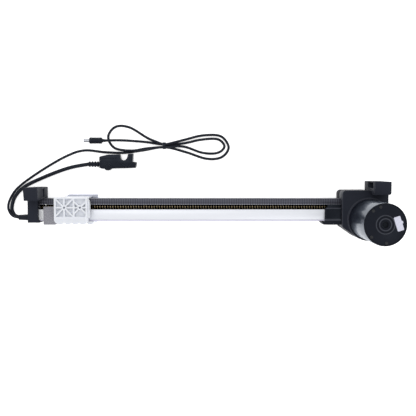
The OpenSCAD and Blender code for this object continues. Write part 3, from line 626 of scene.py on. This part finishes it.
def make_lead(name, route, radius, node):
    """A lead's curve, which replaces its CAD node, and its length in metres."""
    path = smooth_path(route)
    curve = bpy.data.curves.new(name, "CURVE")
    curve.dimensions = "3D"
    curve.bevel_depth = radius * MM
    curve.bevel_resolution = 4
    curve.use_fill_caps = True
    spline = curve.splines.new("POLY")
    spline.points.add(len(path) - 1)
    for point, place_mm in zip(spline.points, path):
        point.co = (*(v * MM for v in place_mm), 1)
    spline.use_smooth = True
    curve.materials.append(lead_black)
    lead = bpy.data.objects.new(name, curve)
    bpy.context.scene.collection.objects.link(lead)
    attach(lead, "frame")
    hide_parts(node)
    length = sum(math.dist(a, b) for a, b in zip(path, path[1:]))
    return lead, length * MM


THIN_ROUTE = [
    (-299, -12, 14.2), (-309.4, -9, 12.9), (-316.8, 2, 8.2), (-314.7, 17, 4),
    (-301.5, 35.5, 2.4), (-269, 59.2, 2.1), (-228, 83, 2.1), (-198, 93.2, 2.1),
    (-165, 90.6, 2.1), (-135, 89.6, 2.1), (-104, 93.4, 2.2), (-70, 98.4, 2.8), (-36, 90.5, 2.2),
    (-4, 80.3, 2.1), (20, 82.5, 2.1), (31.4, 98, 2.1), (19, 115.6, 2.1), (-9, 117, 2.2),
    (-38, 110.2, 2.8), (-56, 105.4, 6.4), (-70, 102.7, 7.4), (-83, 107, 6.4), (-98, 113.6, 2.8),
    (-125, 129.5, 2.1), (-147, 130.5, 2.1), (-158.8, 115, 2.1), (-149, 97.3, 2.6),
    (-122, 92.9, 6.2), (-97, 96.4, 6.7), (-70, 98.4, 7.4), (-40, 99.3, 3.9), (-10, 89.7, 2.2),
    (14, 89.5, 2.1), (24.7, 99.8, 2.1), (14, 110.9, 2.1), (-12, 110.2, 2.1), (-40, 104.5, 2.2),
    (-70, 102.7, 2.8), (-100, 106.6, 2.5), (-133, 109, 2.8), (-152, 109, 7.5),
    (-161.5, 108.8, 5),
]
THICK_ROUTE = [
    (-299, -12, 8.9), (-307.5, -8.5, 7.8), (-312, 3, 5.7), (-306.8, 21, 3.4),
    (-290, 37.2, 3.1), (-254, 54, 3.1), (-220, 66, 3.4), (-190, 71.6, 5.5),
]
THIN_RADIUS, THICK_RADIUS = 2.0, 3.0

thin_lead, thin_length = make_lead("thin_lead_look", THIN_ROUTE, THIN_RADIUS, "thin_lead")
thick_lead, thick_length = make_lead("thick_lead_look", THICK_ROUTE, THICK_RADIUS, "thick_lead")


# ---- Pieces on the leads ----

def make_gland():
    """Oval boot that tapers from the bracket to the leads, with grooves round it."""
    bm = bmesh.new()
    tip_x, base_x = (corner[0] for corner in box_mm("cable_gland"))
    centre_y, centre_z = middle("cable_gland", 1), middle("cable_gland", 2)
    length, steps = base_x - tip_x, 32
    base_radius, tip_radius, half_gap = 5.3, 4.1, 1.4
    groove_depth, tip_rounding = 0.4, 0.35
    grooves = [6.6 + 3 * k for k in range(5)]
    stations = [0, 0.6, 2, 5, 22, 22.9, length]
    for groove in grooves:
        stations += [groove - 0.6, groove]
    stations += [groove + 1.4 for groove in grooves[:-1]]
    sections = []
    for along in sorted(stations):
        radius = base_radius + (tip_radius - base_radius) * along / length
        radius -= groove_depth if along in grooves else 0
        radius -= tip_rounding if along == length else 0
        section = []
        for k in range(steps):
            angle = 2 * math.pi * k / steps
            lift = half_gap if math.sin(angle) >= 0 else -half_gap
            section.append((
                base_x - along, centre_y + radius * math.cos(angle),
                centre_z + lift + radius * math.sin(angle),
            ))
        sections.append(section)
    loft(bm, sections)
    return make_piece("gland_look", bm, lead_black, "cable_gland", 50, ["cable_gland"])


def make_boot():
    """Ribbed boot in front of the connector: round ribs on a narrower core."""
    length, first_rib, rib_pitch = 18.6, 0.9, 4.3
    profile = [(0, 0), (0, 3.1), (0.3, 3.2)]
    for rib in range(4):
        start = first_rib + rib_pitch * rib
        profile += [
            (start, 3.2), (start + 0.3, 4.0), (start + 0.9, 4.55), (start + 1.9, 4.6),
            (start + 2.5, 4.1), (start + 2.8, 3.3),
        ]
    profile += [(length - 0.6, 3.3), (length, 3.4), (length, 0)]
    return lathe("boot_look", profile, "X", THICK_ROUTE[-1], lead_black, "connector_boot",
                 replaced=["connector_boot"])


def make_plug():
    """Barrel plug's moulded body: a recess for the sleeve, a grip with rings and a slim tail
    over the lead."""
    length, grip, ring_pitch = 26.5, 5.0, 3
    end_x, end_y, end_z = THIN_ROUTE[-1]
    profile = [(2.9, 0), (2.9, 2.5), (0.1, 2.5), (0.1, 4.3), (0.35, 4.8), (0.9, grip)]
    for ring in range(4):
        start = 5 + ring_pitch * ring
        profile += [
            (start, grip), (start + 0.3, grip - 0.4), (start + 1.1, grip - 0.4), (start + 1.4, grip),
        ]
    profile += [(18.8, grip), (19.6, 4.5), (20.3, 3.2), (21, 2.6)]
    profile += [(22.4, 2.5), (22.6, 2.2), (23.2, 2.2), (23.4, 2.4), (24.6, 2.3), (24.8, 2.0)]
    profile += [(25.4, 2.0), (25.6, 2.1), (length, 1.9), (length, 0)]
    return lathe("plug_look", profile, "X", (end_x - length, end_y, end_z), plug_black,
                 "dc_plug_body", replaced=["dc_plug_body"])


def prism(bm, outline, low, high):
    """A closed extrusion of an outline in mm between two heights."""
    bottom = [bm.verts.new(Vector((x, y, low)) * MM) for x, y in outline]
    top = [bm.verts.new(Vector((x, y, high)) * MM) for x, y in outline]
    for k in range(len(outline)):
        n = (k + 1) % len(outline)
        bm.faces.new([bottom[k], bottom[n], top[n], top[k]])
    bm.faces.new(bottom[::-1])
    bm.faces.new(top)


def bar_outline(start, end, width):
    """Outline of a straight bar between two points."""
    start, end = Vector(start), Vector(end)
    along = end - start
    side = Vector((-along.y, along.x)).normalized() * width / 2
    return [tuple(corner) for corner in (start - side, end - side, end + side, start + side)]


def arc_outline(centre, radius, width, start, end):
    """Outline of a bar bent round centre, between two angles in degrees."""
    steps = 14
    angles = [math.radians(start + (end - start) * k / steps) for k in range(steps + 1)]
    edges = [(radius + width / 2, angles), (radius - width / 2, angles[::-1])]
    return [
        (centre[0] + r * math.cos(a), centre[1] + r * math.sin(a))
        for r, turn in edges for a in turn
    ]


def make_connector_trim():
    """Raised bars and boss rings moulded on the connector's upper faces."""
    bm = bmesh.new()
    bar_low, bar_top, boss_low, boss_top = 13.6, 14.7, 14.6, 15.7
    boss_centre, boss_width = (-158.2, 68), 0.9
    bars = [
        ((-169.5, 75.8), (-141, 75.8), 2.0),
        ((-169.5, 80.6), (-142.5, 81.4), 1.2),
        ((-150, 66.9), (-131, 67.1), 0.9),
        ((-136, 73.4), (-121, 73.6), 1.4),
        ((-137.2, 72.2), (-129.6, 66.8), 1.0),
        ((-121.4, 72.2), (-126.6, 66.8), 1.0),
        ((-124.4, 77.4), (-124, 86), 1.1),
        ((-120.6, 77.4), (-120.4, 86), 1.1),
    ]
    for start, end, width in bars:
        prism(bm, bar_outline(start, end, width), bar_low, bar_top)
    for radius, start, end in ((5.2, -60, 200), (3.0, -20, 160), (3.0, 190, 320)):
        outline = arc_outline(boss_centre, radius, boss_width, start, end)
        prism(bm, outline, boss_low, boss_top)
    edges = [edge for edge in bm.edges if edge.calc_face_angle(0) > 0.5]
    bmesh.ops.bevel(bm, geom=edges, offset=0.25 * MM, segments=2, profile=0.5, affect="EDGES",
                    clamp_overlap=True)
    return make_piece("connector_trim", bm, plug_black, "connector_body")


gland = make_gland()
boot = make_boot()
plug = make_plug()
connector = refined("connector_body", 0.9, 3)
connector_trim = make_connector_trim()
lead_tie = refined("lead_tie", 0.35)


# ---- Lead screw ----

SCREW_AXIS = (0, SCREW_Y, SCREW_Z)


def make_thread():
    """The real helix: one start, 4 mm lead, right hand."""
    bm = bmesh.new()
    lead, turns, steps, root = 4.0, 118, 28, 4.35
    left = SCREW_LEFT + 8.7
    profile = [
        (0.0, SCREW_CREST), (1.25, SCREW_CREST), (1.75, root + 0.15), (2.0, root), (3.2, root),
        (3.45, root + 0.15),
    ]
    rows = []
    for i in range(turns * steps + 1):
        start, angle = left + lead * i / steps, 2 * math.pi * i / steps
        points = [place("X", SCREW_AXIS, start + x, r, angle) for x, r in profile]
        rows.append([bm.verts.new(point) for point in points])
    for i in range(turns * steps):
        for j in range(len(profile) - 1):
            bm.faces.new([rows[i][j], rows[i + 1][j], rows[i + 1][j + 1], rows[i][j + 1]])
        if i + steps <= turns * steps - 1:
            bm.faces.new([
                rows[i][-1], rows[i + 1][-1], rows[i + 1 + steps][0], rows[i + steps][0],
            ])
    rim = [edge for edge in bm.edges if len(edge.link_faces) == 1]
    bmesh.ops.holes_fill(bm, edges=rim, sides=0)
    bmesh.ops.triangulate(bm, faces=[face for face in bm.faces if len(face.verts) > 4])
    make_piece("screw_thread", bm, thread_metal, "lead_screw", 40, ["lead_screw"])


def make_journals():
    """Plain ends that run in the bearings. The right one starts at a shoulder."""
    journal, chamfer = 4, 0.4
    left_end = [
        (0, 0), (0, journal - chamfer), (chamfer, journal), (8.5, journal), (9.1, 4.3), (9.3, 0),
    ]
    shoulder = [(57.5, 0), (57.5, 4.3), (56.6, 5.6), (56.2, 6), (49.9, 6), (49.5, 5.6)]
    right_end = shoulder + [
        (49.5, journal), (chamfer, journal), (0, journal - chamfer), (0, 0),
    ]
    left_profile = [(SCREW_LEFT + along, radius) for along, radius in left_end]
    right_profile = [(SCREW_RIGHT - along, radius) for along, radius in right_end]
    lathe("screw_left_journal", left_profile, "X", SCREW_AXIS, steel, "lead_screw")
    lathe("screw_right_journal", right_profile, "X", SCREW_AXIS, steel, "lead_screw")


make_thread()
make_journals()


# ---- Rounded edges on the visible solids ----

EDGE_WIDTHS = {
    "guide_channel": 0.3,
    "wire_duct": 0.25,
    "end_bracket": 0.8,
    "stop_buffer": 0.8,
    "rail_collar": 0.4,
    "housing_rear": 0.5,
    "housing_front": 0.5,
    "mount_block": 0.9,
    "carriage_front": 0.35,
    "carriage_back": 0.35,
    "mount_block_screws": 0.4,
    "motor_cap_screws": 0.25,
    "bracket_screws": 0.2,
    "buffer_pin": 0.3,
}
for edged_node, edge_width in EDGE_WIDTHS.items():
    refined(edged_node, edge_width)


# ---- Motor ----

def make_can():
    """The can's drawn shell: a tube with a floor, its outer edges rounded."""
    bottom, top, outer = CAN_BOTTOM, MOTOR_TOP - 1, CAN_RADIUS
    floor, inner, hole = CAN_BOTTOM + 2, CAN_RADIUS - 1.8, 7
    profile = [
        (bottom, hole), (bottom, outer - 0.8), (bottom + 0.25, outer - 0.2), (bottom + 0.8, outer),
        (top - 0.4, outer), (top - 0.05, outer - 0.1), (top, outer - 0.6), (top, inner),
        (floor, inner), (floor, hole),
    ]
    lathe("can_look", profile, "Z", (MOTOR_X, MOTOR_Y, 0), gloss_black, "motor_can", 144,
          ["motor_can"], tube=True)


def make_end_cap():
    """Pressed plate that closes the can, with a rim, two raised rings and a centre dimple."""
    back = [(-5, 0), (-5, 6), (-10.5, 6), (-10.5, 7.5), (-5, 7.5), (-5, 28.1), (-1, 28.1)]
    rim = [(-1, 29.9), (-0.6, 30), (-0.2, 29.8), (0, 29.4), (0, 28.7), (-0.25, 28.4), (-0.9, 28.2)]
    outer_ring = [
        (-0.9, 14), (-0.7, 13.4), (-0.2, 13.2), (-0.1, 12.9), (-0.1, 12.3), (-0.4, 12),
        (-1.3, 11.7),
    ]
    inner_ring = [
        (-1.3, 9.8), (-0.9, 9.4), (-0.4, 9.1), (-0.3, 8.8), (-0.3, 7.9), (-0.6, 7.5), (-1.6, 6.9),
    ]
    dimple = [(-1.6, 4.6), (-2, 4.2), (-3.3, 3.8), (-3.4, 0)]
    profile = back + rim + outer_ring + inner_ring + dimple
    lathe("end_cap_look", profile, "Z", (MOTOR_X, MOTOR_Y, MOTOR_TOP), cap_black,
          "motor_end_cap", 144, ["motor_end_cap"])


def make_label():
    """Blank sticker with rounded corners and a tab on its outer side."""
    left, right, low, high, corner, tab = 13.4, 22.6, -14.6, 5.8, 1.3, 2.2
    under, top, steps = MOTOR_TOP - 0.9, MOTOR_TOP - 0.4, 6
    arcs = [
        (left + corner, low + corner, corner, 180, 90),
        (right - corner, low + corner, corner, 270, 90),
        (22.2, -3.7, tab, -80, 160),
        (right - corner, high - corner, corner, 0, 90),
        (left + corner, high - corner, corner, 90, 90),
    ]
    outline = []
    for x, y, radius, start, sweep in arcs:
        for k in range(steps + 1):
            angle = math.radians(start + sweep * k / steps)
            outline.append((x + radius * math.cos(angle), y + radius * math.sin(angle)))
    turn = Matrix.Rotation(math.radians(LABEL_TURN), 2)
    placed = [Vector((MOTOR_X, MOTOR_Y)) + turn @ Vector(point) for point in outline]
    bm = bmesh.new()
    prism(bm, [tuple(point) for point in placed], under, top)
    rim = [edge for edge in bm.edges if all(v.co.z > (top - 0.1) * MM for v in edge.verts)]
    bmesh.ops.bevel(bm, geom=rim, offset=0.12 * MM, segments=2, profile=0.5, affect="EDGES")
    make_piece("label_look", bm, paper, "motor_label", 30, ["motor_label"])


make_can()
make_end_cap()
make_label()


# ---- Floor and light ----

def add_floor():
    """Pale floor 0.4 mm under the object, which glows a little so that it stays near white."""
    bm = bmesh.new()
    bmesh.ops.create_grid(bm, x_segments=2, y_segments=2, size=6)
    mesh = bpy.data.meshes.new("floor")
    bm.to_mesh(mesh)
    bm.free()
    floor = bpy.data.objects.new("floor", mesh)
    floor.location = (0, 0, -0.0004)
    bpy.context.scene.collection.objects.link(floor)
    shader = Shader("floor", (0.95, 0.95, 0.95), rough=0.8)
    shader.bsdf.inputs["Emission Color"].default_value = (1, 1, 1, 1)
    shader.bsdf.inputs["Emission Strength"].default_value = 0.6
    mesh.materials.append(shader.material)


def add_light(name, place_m, target, size, power):
    """Area light that faces target. Places and sizes are in metres, power in watts."""
    data = bpy.data.lights.new(name, "AREA")
    data.shape = "RECTANGLE"
    data.size, data.size_y = size
    data.energy = power
    light = bpy.data.objects.new(name, data)
    light.location = place_m
    light.rotation_euler = (Vector(target) - Vector(place_m)).to_track_quat("-Z", "Y").to_euler()
    bpy.context.scene.collection.objects.link(light)


def add_world():
    """Plain white light from all sides."""
    world = bpy.data.worlds.new("studio")
    world.use_nodes = True
    background = world.node_tree.nodes["Background"]
    background.inputs["Color"].default_value = (1, 1, 1, 1)
    background.inputs["Strength"].default_value = 0.9
    bpy.context.scene.world = world


add_floor()
add_world()
add_light("key", (-0.5, 0.9, 1.9), (0, 0, 0), (1.6, 1.2), 9)
add_light("fill", (0.9, -0.9, 1.6), (0, 0, 0), (1.4, 1.0), 5)
